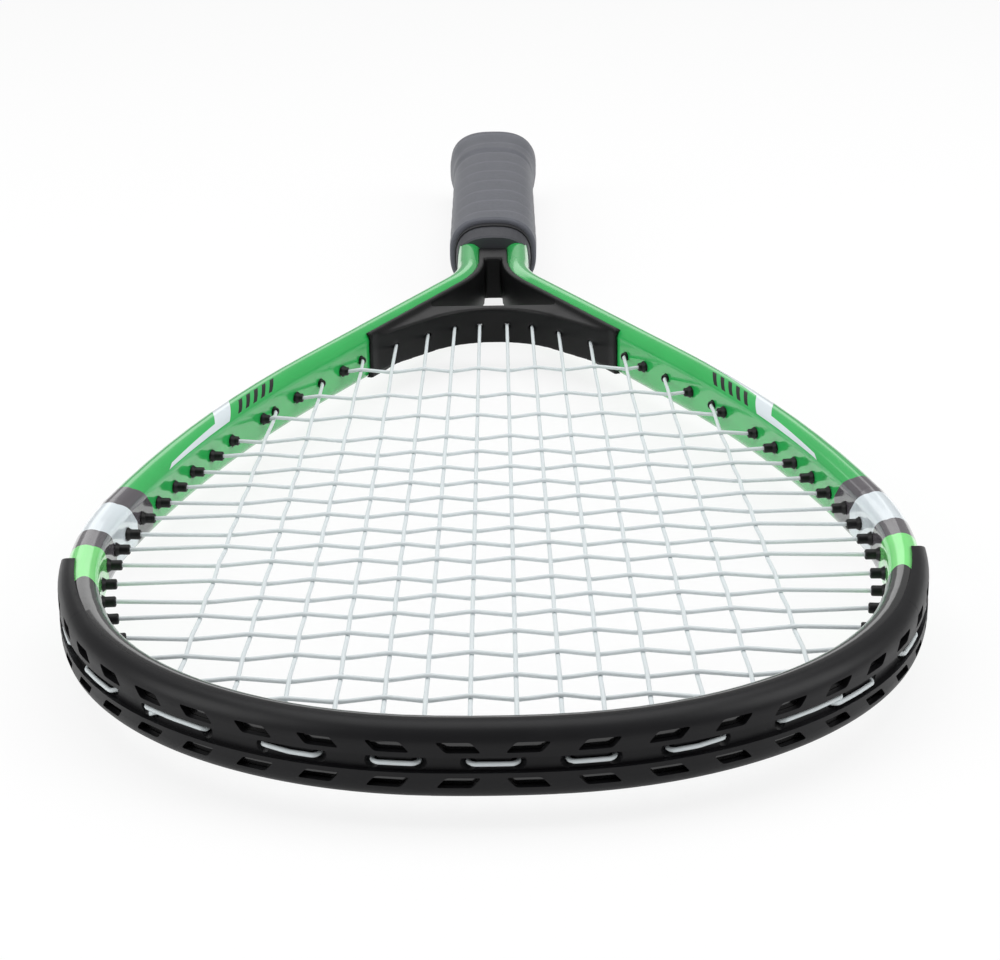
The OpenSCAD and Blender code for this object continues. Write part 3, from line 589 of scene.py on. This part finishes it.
class Tree:
    """A node tree that is built one value at a time."""

    def __init__(self, tree):
        self.tree = tree

    def add(self, kind, **settings):
        node = self.tree.nodes.new(kind)
        for key, value in settings.items():
            setattr(node, key, value)
        return node

    def plug(self, socket, value):
        if isinstance(value, bpy.types.NodeSocket):
            self.tree.links.new(value, socket)
        else:
            socket.default_value = value

    def math(self, operation, a, b=0.0):
        node = self.add("ShaderNodeMath", operation=operation)
        for socket, value in zip(node.inputs, (a, b)):
            self.plug(socket, value)
        return node.outputs[0]

    def plus(self, a, b):
        return self.math("ADD", a, b)

    def less(self, a, b):
        return self.math("SUBTRACT", a, b)

    def times(self, a, b):
        return self.math("MULTIPLY", a, b)

    def ramp(self, value, low, high, to_low=0.0, to_high=1.0, smooth=True):
        node = self.add("ShaderNodeMapRange", interpolation_type="SMOOTHSTEP" if smooth else "LINEAR")
        for name, given in (
            ("Value", value),
            ("From Min", low),
            ("From Max", high),
            ("To Min", to_low),
            ("To Max", to_high),
        ):
            self.plug(node.inputs[name], given)
        return node.outputs[0]

    def after(self, value, edge, soft=0.08):
        """1 where value is past the edge, 0 before it."""
        return self.ramp(self.less(value, edge), -soft, soft)

    def before(self, value, edge, soft=0.08):
        return self.less(1.0, self.after(value, edge, soft))

    def within(self, value, low, high, soft=0.08):
        return self.times(self.after(value, low, soft), self.before(value, high, soft))

    def mix(self, share, a, b):
        node = self.add("ShaderNodeMix", data_type="RGBA")
        self.plug(node.inputs[0], share)
        self.plug(node.inputs[6], a)
        self.plug(node.inputs[7], b)
        return node.outputs[2]

    def noise(self, vector, scale, detail=2.0, rough=0.5):
        node = self.add("ShaderNodeTexNoise")
        self.plug(node.inputs["Vector"], vector)
        self.plug(node.inputs["Scale"], scale)
        node.inputs["Detail"].default_value = detail
        node.inputs["Roughness"].default_value = rough
        return node.outputs["Fac"]

    def xyz(self, vector):
        node = self.add("ShaderNodeSeparateXYZ")
        self.plug(node.inputs[0], vector)
        return node.outputs

    def bump(self, height, strength, distance):
        node = self.add("ShaderNodeBump")
        node.inputs["Strength"].default_value = strength
        node.inputs["Distance"].default_value = distance
        self.plug(node.inputs["Height"], height)
        return node.outputs[0]


def srgb(red, green, blue):
    """The linear colour that the shader wants, from one given as it looks on screen, from 0 to 255."""

    def linear(value):
        v = value / 255
        return v / 12.92 if v <= 0.04045 else ((v + 0.055) / 1.055) ** 2.4

    return linear(red), linear(green), linear(blue), 1.0


def new_group(name, inputs, outputs):
    """A shader node group with its sockets: [(name, kind, value)]."""
    group = bpy.data.node_groups.new(name, "ShaderNodeTree")
    for title, kind, value in inputs:
        socket = group.interface.new_socket(title, in_out="INPUT", socket_type=kind)
        if value is not None:
            socket.default_value = value
    for title, kind in outputs:
        group.interface.new_socket(title, in_out="OUTPUT", socket_type=kind)
    tree = Tree(group)
    return group, tree, tree.add("NodeGroupInput").outputs, tree.add("NodeGroupOutput").inputs


VALUE = "NodeSocketFloat"
POINT = "NodeSocketVector"


def moulded_skin_group():
    """The fine, slightly uneven skin of moulded plastic, as a height and a roughness."""
    group, t, given, out = new_group(
        "moulded_skin",
        [
            ("Place", POINT, None),
            ("Grain Scale", VALUE, 2600.0),
            ("Base Roughness", VALUE, 0.45),
            ("Spread", VALUE, 0.1),
        ],
        [("Height", VALUE), ("Roughness", VALUE)],
    )
    fine = t.noise(given["Place"], given["Grain Scale"], 3.0, 0.6)
    broad = t.noise(given["Place"], 90.0, 2.0)
    t.plug(out["Height"], t.plus(t.times(fine, 0.7), t.times(broad, 0.3)))
    swing = t.times(t.less(broad, 0.5), given["Spread"])
    speck = t.times(t.less(fine, 0.5), t.times(given["Spread"], 0.6))
    t.plug(out["Roughness"], t.plus(given["Base Roughness"], t.plus(swing, speck)))
    return group


def rim_place_group():
    """Where a place is on the rim, in millimetres.

    Length is measured from the tip. Over is the way over the tube's section, which is 0 on the crown, more
    on the inside and less on the outside. Side is -1 or 1, and Up is measured from the plane of the strings.
    """
    group, t, given, out = new_group(
        "rim_place",
        [("Place", POINT, None)],
        [("Length", VALUE), ("Over", VALUE), ("Side", VALUE), ("Up", VALUE)],
    )
    x, y, z = t.xyz(given["Place"])
    mm = 1 / MM
    wide = t.times(t.math("ABSOLUTE", x), mm)
    down = t.plus(t.times(y, mm), MIDDLE_Y)
    up = t.less(t.times(z, mm), FLOOR_Z)

    def on_arc(arc, start):
        across = t.less(wide, arc.centre.x)
        back = t.less(arc.centre.y, down)
        turn = t.math("ARCTAN2", across, back)
        reach = t.math("SQRT", t.plus(t.times(across, across), t.times(back, back)))
        return turn, t.plus(t.times(t.less(turn, arc.first), arc.radius), start), t.less(reach, arc.radius)

    corner_turn, corner_l, corner_off = on_arc(CORNER, TIP.length())
    side_turn, side_l, side_off = on_arc(SIDE, SIDE_START_L)
    _, shoulder_l, shoulder_off = on_arc(SHOULDER, SHOULDER_START_L)
    run_x = t.less(wide, SHOULDER_END.x)
    run_y = t.less(down, SHOULDER_END.y)
    ahead_x, ahead_y = along(SHOULDER_TURN)
    run = t.plus(t.times(run_x, ahead_x), t.times(run_y, ahead_y))
    straight_l = t.plus(run, SHOULDER_START_L + SHOULDER.length())
    straight_off = t.less(t.times(run_x, ahead_y), t.times(run_y, ahead_x))

    def choose(share, before, after):
        return t.plus(before, t.times(share, t.less(after, before)))

    on_side = t.math("GREATER_THAN", corner_turn, CORNER_TURN)
    on_shoulder = t.math("GREATER_THAN", side_turn, SIDE_TURN)
    on_straight = t.math("GREATER_THAN", run, 0.0)

    def pick(corner, side, shoulder, straight):
        return choose(on_straight, choose(on_shoulder, choose(on_side, corner, side), shoulder), straight)

    length = pick(corner_l, side_l, shoulder_l, straight_l)
    off = pick(corner_off, side_off, shoulder_off, straight_off)
    # Over the round top of the section the way is an angle, and below it the way runs straight down.
    half = TUBE_W / 2
    flat_z = (TUBE_H - TUBE_W) / 2
    angle = t.math("ARCTAN2", t.times(off, -1.0), t.math("MAXIMUM", t.less(up, flat_z), 0.0))
    drop = t.math("MAXIMUM", t.less(flat_z, up), 0.0)
    inside = t.math("SIGN", t.times(off, -1.0))
    t.plug(out["Length"], length)
    t.plug(out["Over"], t.plus(t.times(angle, half), t.times(inside, drop)))
    t.plug(out["Side"], t.math("SIGN", x))
    t.plug(out["Up"], up)
    return group


MOULDED = moulded_skin_group()
RIM_PLACE = rim_place_group()


def new_material(name, colour, roughness, **sockets):
    """A material with a plain Principled shader: the material, its tree and the shader's inputs."""
    material = bpy.data.materials.new(name)
    material.use_nodes = True
    shader = material.node_tree.nodes["Principled BSDF"]
    shader.inputs["Base Color"].default_value = colour
    shader.inputs["Roughness"].default_value = roughness
    for key, value in sockets.items():
        shader.inputs[key.replace("_", " ")].default_value = value
    return material, Tree(material.node_tree), shader.inputs


def place_of(t):
    return t.add("ShaderNodeTexCoord").outputs["Object"]


def use_group(t, group, **values):
    node = t.add("ShaderNodeGroup", node_tree=group)
    for key, value in values.items():
        t.plug(node.inputs[key.replace("_", " ")], value)
    return node.outputs


# The painted tube. Lengths are along the rim from the middle of the tip, in millimetres, and "over" is the
# way over the tube's section: 0 on the crown, more on the inside and less on the outside.
PAINT_GREEN = srgb(47, 178, 88)
PAINT_BRIGHT = srgb(122, 228, 124)
PAINT_GREY = srgb(88, 84, 89)
PAINT_WHITE = srgb(222, 231, 236)
PAINT_BLACK = srgb(12, 12, 13)

# The bands, which lean by INNER_SHIFT towards the throat on the inner wall.
BLACK_END = 144.5
BRIGHT_END = 166.0
FIRST_GREY_END = 177.0
WHITE_END = 197.0
SECOND_GREY_END = 209.3
INNER_SHIFT = 8.0
INNER_FROM = 2.0
INNER_TO = 10.5

# The black's end is a rounded tongue: its crown, how fast it falls back, and where it stops doing so.
TONGUE_CROWN = 1.0
TONGUE_BEND = 0.3
TONGUE_REACH = 6.0
TONGUE_OUTER = -4.9

# The short bars on each shoulder.
BAR_COUNT = 5
BAR_FIRST = 290.3
BAR_W = 2.5
BAR_PITCH = 5.2
BAR_LEAN = 1.72
BAR_OVER = (1.2, 4.7)

# The hook on each shoulder: its wide end, and its tail, which narrows towards the tip.
HOOK_LEAN = 1.7
HOOK_L = (273.6, 284.6)
HOOK_OVER = (-9.0, 5.05)
TAIL_LEAN = 3.0
TAIL_LEANING_L = (247.5, 288.0)
TAIL_L = (231.0, 276.5)

# The thin stripe along the outer edge of the right shoulder.
STRIPE_L = (281.0, 326.0)
STRIPE_OUTER = -4.2


def band_colour(t, length, over):
    """The bands round the tube, and a mask that is 1 past the black of the tip."""
    shift = t.ramp(over, INNER_FROM, INNER_TO, 0.0, INNER_SHIFT, smooth=False)
    leaning = t.less(length, shift)
    beside = t.math("MINIMUM", t.math("ABSOLUTE", t.less(over, TONGUE_CROWN)), TONGUE_REACH)
    bend = t.times(t.times(beside, beside), TONGUE_BEND)
    black_end = t.less(BLACK_END, t.times(bend, t.after(over, TONGUE_OUTER, 0.3)))
    past_black = t.after(length, black_end)
    colour = t.mix(past_black, PAINT_BLACK, PAINT_BRIGHT)
    for edge, paint in (
        (BRIGHT_END, PAINT_GREY),
        (FIRST_GREY_END, PAINT_WHITE),
        (WHITE_END, PAINT_GREY),
        (SECOND_GREY_END, PAINT_GREEN),
    ):
        colour = t.mix(t.after(leaning, edge), colour, paint)
    return colour, past_black


def bar_mask(t, length, over):
    """The short bars, which lean with the rim."""
    leaning = t.plus(length, t.times(over, BAR_LEAN))
    bars = 0.0
    for n in range(BAR_COUNT):
        start = BAR_FIRST + BAR_PITCH * n
        bars = t.plus(bars, t.within(leaning, start, start + BAR_W))
    return t.times(bars, t.within(over, *BAR_OVER))


def hook_mask(t, length, over):
    """A wide end that leans like the bars, and a tapered tail along the shoulder."""
    leaning = t.plus(length, t.times(over, HOOK_LEAN))
    wide_end = t.times(t.within(leaning, *HOOK_L), t.within(over, *HOOK_OVER))
    outer_edge = t.ramp(length, 235.0, 270.0, 4.1, 3.1, smooth=False)
    inner_edge = t.ramp(length, 231.0, 236.0, 5.15, 5.05)
    tail = t.times(t.after(over, outer_edge), t.before(over, inner_edge))
    tail = t.times(tail, t.within(t.plus(length, t.times(over, TAIL_LEAN)), *TAIL_LEANING_L))
    tail = t.times(tail, t.within(length, *TAIL_L))
    return t.math("MAXIMUM", wide_end, tail)


def stripe_mask(t, length, over, side):
    edge = t.ramp(length, 284.0, 330.0, 0.3, -1.6, smooth=False)
    stripe = t.times(t.within(length, *STRIPE_L, 0.3), t.within(over, STRIPE_OUTER, edge))
    return t.times(stripe, t.math("GREATER_THAN", side, 0.0))


def paint_material():
    """Glossy lacquer in bands round the tube, with a hook and short bars on each shoulder."""
    coat = {"Coat_Weight": 0.6, "Coat_Roughness": 0.05}
    material, t, shader = new_material("frame_paint", PAINT_GREEN, 0.16, **coat)
    place = place_of(t)
    rim = use_group(t, RIM_PLACE, Place=place)
    length, over = rim["Length"], rim["Over"]
    on_top = t.math("GREATER_THAN", rim["Up"], -2.0)
    colour, past_black = band_colour(t, length, over)
    colour = t.mix(t.times(bar_mask(t, length, over), on_top), colour, PAINT_BLACK)
    colour = t.mix(t.times(hook_mask(t, length, over), on_top), colour, PAINT_WHITE)
    colour = t.mix(t.times(stripe_mask(t, length, over, rim["Side"]), on_top), colour, PAINT_WHITE)

    # Slow changes in the lacquer's depth, and dust too fine to see one by one.
    shade = t.add("ShaderNodeHueSaturation")
    t.plug(shade.inputs["Color"], colour)
    t.plug(shade.inputs["Value"], t.ramp(t.noise(place, 35.0), 0.3, 0.7, 0.96, 1.04))
    t.plug(shader["Base Color"], shade.outputs[0])
    dust = t.ramp(t.noise(place, 1500.0), 0.35, 0.65, 0.13, 0.2)
    black = t.less(1.0, past_black)
    t.plug(shader["Roughness"], t.plus(dust, t.times(black, -0.03)))
    t.plug(shader["Normal"], t.bump(t.noise(place, 240.0, 3.0), 0.06, 0.0002))
    return material


def plastic_material(name, colour, roughness, grain=2600.0, depth=0.25, spread=0.1, **sockets):
    """Moulded plastic with a fine skin."""
    material, t, shader = new_material(name, colour, roughness, **sockets)
    place = place_of(t)
    skin = use_group(t, MOULDED, Place=place, Grain_Scale=grain, Base_Roughness=roughness, Spread=spread)
    t.plug(shader["Roughness"], skin["Roughness"])
    t.plug(shader["Normal"], t.bump(skin["Height"], depth, 0.0001))
    pale = tuple(min(1.0, v * 1.5 + 0.004) for v in colour[:3]) + (1.0,)
    share = t.ramp(t.noise(place, 60.0, 3.0), 0.35, 0.75, 0.0, 0.35)
    t.plug(shader["Base Color"], t.mix(share, colour, pale))
    return material


# The plait of a string: turns of a strand in each millimetre, and strands each way.
STRAND_TURNS = 0.55
STRANDS = 4


def string_material(name, colour):
    """Plaited nylon with a dull coat: fine strands wound both ways round the string, with painted shade in
    the grooves between them.
    """
    material, t, shader = new_material(name, colour, 0.6, Specular_IOR_Level=0.3)
    uv = t.add("ShaderNodeUVMap", uv_map="UVMap").outputs[0]
    u, v, _ = t.xyz(uv)
    ahead = t.times(u, STRAND_TURNS)
    one_way = t.math("SINE", t.times(t.plus(ahead, v), 2 * math.pi * STRANDS))
    other_way = t.math("SINE", t.times(t.less(ahead, v), 2 * math.pi * STRANDS))
    strands = t.plus(one_way, other_way)
    t.plug(shader["Normal"], t.bump(strands, 0.12, 0.00004))
    # Painted shade: the colour is darkened in the grooves between the strands, where the strand height is
    # low.
    painted_groove_shade = tuple(v * 0.9 for v in colour[:3]) + (1.0,)
    share = t.ramp(strands, -2.0, 0.4, 0.4, 0.0)
    t.plug(shader["Base Color"], t.mix(share, colour, painted_groove_shade))
    t.plug(shader["Roughness"], t.ramp(strands, -2.0, 2.0, 0.66, 0.55))
    return material


def grip_material():
    """Soft wound tape: a fine pressed grain, a painted highlight on each lap's raised edge and painted shade
    in the step below it.
    """
    base = srgb(86, 88, 96)
    # Painted highlight: a lighter colour for the raised edge of each lap.
    edge_highlight_colour = srgb(94, 96, 104)
    low_colour = srgb(80, 82, 89)
    # Painted shade: a darker colour for the step where each lap drops to the next turn.
    step_shade_colour = srgb(68, 69, 75)
    material, t, shader = new_material("grip_wrap", base, 0.62, Sheen_Weight=0.25, Sheen_Roughness=0.3)
    place = place_of(t)
    uv = t.add("ShaderNodeUVMap", uv_map="UVMap").outputs[0]
    _, turn, _ = t.xyz(uv)
    part = t.math("FRACT", turn)
    # Where on each turn the painted highlight and the painted shade of the laps fall.
    edge_highlight_mask = t.within(part, 0.8, 0.915, 0.04)
    step_shade_mask = t.within(part, 0.955, 0.995, 0.015)
    cloud = t.noise(place, 120.0, 3.0)
    grain = t.noise(place, 1900.0, 3.0, 0.65)
    colour = t.mix(t.ramp(cloud, 0.3, 0.7, 0.0, 0.5), base, low_colour)
    # Painted highlight on the raised edge of each lap.
    colour = t.mix(t.times(edge_highlight_mask, 0.7), colour, edge_highlight_colour)
    # Painted shade in the step where each lap drops to the next turn.
    colour = t.mix(t.times(step_shade_mask, 0.6), colour, step_shade_colour)
    t.plug(shader["Base Color"], colour)
    t.plug(shader["Roughness"], t.ramp(grain, 0.3, 0.7, 0.52, 0.72))
    height = t.plus(t.times(grain, 0.8), t.times(cloud, 0.5))
    t.plug(shader["Normal"], t.bump(height, 0.4, 0.00022))
    return material


materials = {
    "frame_tube": paint_material(),
    "throat_yoke": plastic_material(
        "yoke_plastic", srgb(15, 15, 16), 0.4, depth=0.18, Specular_IOR_Level=0.22
    ),
    "bumper_guard": plastic_material(
        "bumper_plastic", srgb(19, 19, 21), 0.4, depth=0.2, Specular_IOR_Level=0.22
    ),
    "grommet": plastic_material("grommet_plastic", srgb(10, 10, 11), 0.4, Specular_IOR_Level=0.3),
    "handle_core": plastic_material("core_foam", srgb(196, 178, 140), 0.8, grain=900.0, depth=0.6),
    "finishing_tape": plastic_material("finishing_band", srgb(24, 24, 27), 0.5, grain=1400.0, depth=0.4),
    "grip_collar": plastic_material(
        "collar_rubber", srgb(54, 55, 60), 0.6, grain=1800.0, depth=0.5, spread=0.16
    ),
    "butt_cap": plastic_material("cap_plastic", srgb(46, 46, 52), 0.45),
    "butt_disc": plastic_material("disc_plastic", srgb(84, 84, 92), 0.4),
    "string": string_material("string", srgb(213, 220, 222)),
    "grip": grip_material(),
}
materials["grommet_strip_left"] = materials["grommet"]
materials["grommet_strip_right"] = materials["grommet"]

for name, node in nodes.items():
    if name in materials:
        node.data.materials.clear()
        node.data.materials.append(materials[name])

for name, way, node_name in (
    ("woven_main_string", main_way(), "main_strings"),
    ("woven_cross_string", cross_way(), "cross_strings"),
):
    new_piece(name, string_mesh(name, way), materials["string"], [node_name])

yoke_mesh = rounded_copy(nodes["throat_yoke"], YOKE_GRAIN, YOKE_ROUNDS)
new_piece("rounded_throat_yoke", yoke_mesh, materials["throat_yoke"], ["throat_yoke"])
grip = new_piece("wound_grip_tape", grip_mesh(), materials["grip"], ["grip_tape"])

# The stage: a pale floor, soft lamps and the camera.


FLOOR_GLOW = 0.82
FLOOR_GLOW_IN_GLOSS = 0.3
WORLD_LIGHT = 0.32


def stage_floor():
    """A pale floor that the camera sees as nearly white, with the racket's shadow on it."""
    bpy.ops.mesh.primitive_plane_add(size=8.0, location=(0, 0, -0.0005))
    floor = bpy.context.object
    floor.name = "studio_floor"
    material = bpy.data.materials.new("studio_floor")
    material.use_nodes = True
    t = Tree(material.node_tree)
    shader = material.node_tree.nodes["Principled BSDF"]
    shader.inputs["Base Color"].default_value = (0.9, 0.9, 0.9, 1)
    shader.inputs["Roughness"].default_value = 0.9
    shader.inputs["Specular IOR Level"].default_value = 0.1
    glow = t.add("ShaderNodeEmission")
    glow.inputs["Color"].default_value = (1, 1, 1, 1)
    glow.inputs["Strength"].default_value = 1.0
    path = t.add("ShaderNodeLightPath")
    seen = t.math("MAXIMUM", path.outputs["Is Camera Ray"], path.outputs["Is Transmission Ray"])
    glossy = t.times(path.outputs["Is Glossy Ray"], FLOOR_GLOW_IN_GLOSS)
    share = t.math("MAXIMUM", t.times(seen, FLOOR_GLOW), glossy)
    blend = t.add("ShaderNodeMixShader")
    t.plug(blend.inputs[0], share)
    t.plug(blend.inputs[1], shader.outputs[0])
    t.plug(blend.inputs[2], glow.outputs[0])
    output = material.node_tree.nodes["Material Output"]
    t.plug(output.inputs["Surface"], blend.outputs[0])
    floor.data.materials.append(material)


def studio_world():
    """White where the camera sees it, and a weaker light on the racket."""
    world = bpy.data.worlds.new("studio")
    world.use_nodes = True
    t = Tree(world.node_tree)
    background = world.node_tree.nodes["Background"]
    background.inputs["Color"].default_value = (1, 1, 1, 1)
    path = t.add("ShaderNodeLightPath")
    seen = t.math("MAXIMUM", path.outputs["Is Camera Ray"], path.outputs["Is Transmission Ray"])
    t.plug(background.inputs["Strength"], t.ramp(seen, 0.0, 1.0, WORLD_LIGHT, 1.0, smooth=False))
    bpy.context.scene.world = world


def soft_lamp(name, place, aim, size, power_w):
    """A rectangular lamp at a place, turned to what it lights."""
    data = bpy.data.lights.new(name, "AREA")
    data.shape = "RECTANGLE"
    data.size, data.size_y = size
    data.energy = power_w
    lamp = bpy.data.objects.new(name, data)
    turn = (Vector(aim) - Vector(place)).to_track_quat("-Z", "Y")
    lamp.matrix_world = Matrix.Translation(place) @ turn.to_matrix().to_4x4()
    bpy.context.scene.collection.objects.link(lamp)


CAMERA_PLACE = Vector((3.543, -772.920, 249.993)) * MM
CAMERA_YAW = math.radians(-0.1488)
CAMERA_PITCH = math.radians(19.6264)
CAMERA_ROLL = math.radians(0.8891)
CAMERA_LENS = 90.506


def photo_camera():
    """The camera, placed and turned as the one that took the picture."""
    ahead = Vector(
        (
            math.sin(CAMERA_YAW) * math.cos(CAMERA_PITCH),
            math.cos(CAMERA_YAW) * math.cos(CAMERA_PITCH),
            -math.sin(CAMERA_PITCH),
        )
    )
    right = Vector((math.cos(CAMERA_YAW), -math.sin(CAMERA_YAW), 0))
    down = ahead.cross(right)
    rolled_right = math.cos(CAMERA_ROLL) * right + math.sin(CAMERA_ROLL) * down
    rolled_down = -math.sin(CAMERA_ROLL) * right + math.cos(CAMERA_ROLL) * down
    data = bpy.data.cameras.new("photo_camera")
    data.sensor_width = 36
    data.lens = CAMERA_LENS
    camera = bpy.data.objects.new("photo_camera", data)
    turn = Matrix((rolled_right, -rolled_down, -ahead)).transposed().to_4x4()
    camera.matrix_world = Matrix.Translation(CAMERA_PLACE) @ turn
    bpy.context.scene.collection.objects.link(camera)
    bpy.context.scene.camera = camera


bpy.context.scene.view_settings.view_transform = "Standard"
stage_floor()
studio_world()
soft_lamp("top_softbox", (0.0, 0.1, 1.3), (0, 0, 0), (1.6, 1.2), 12)
soft_lamp("left_softbox", (-1.2, -0.5, 0.7), (0, -0.1, 0), (0.9, 0.9), 8)
soft_lamp("right_softbox", (1.2, -0.3, 0.8), (0, -0.1, 0), (0.9, 0.9), 8)
soft_lamp("back_softbox", (-0.25, 1.5, 0.6), (0, -0.2, 0), (1.2, 0.35), 1.2)
photo_camera()
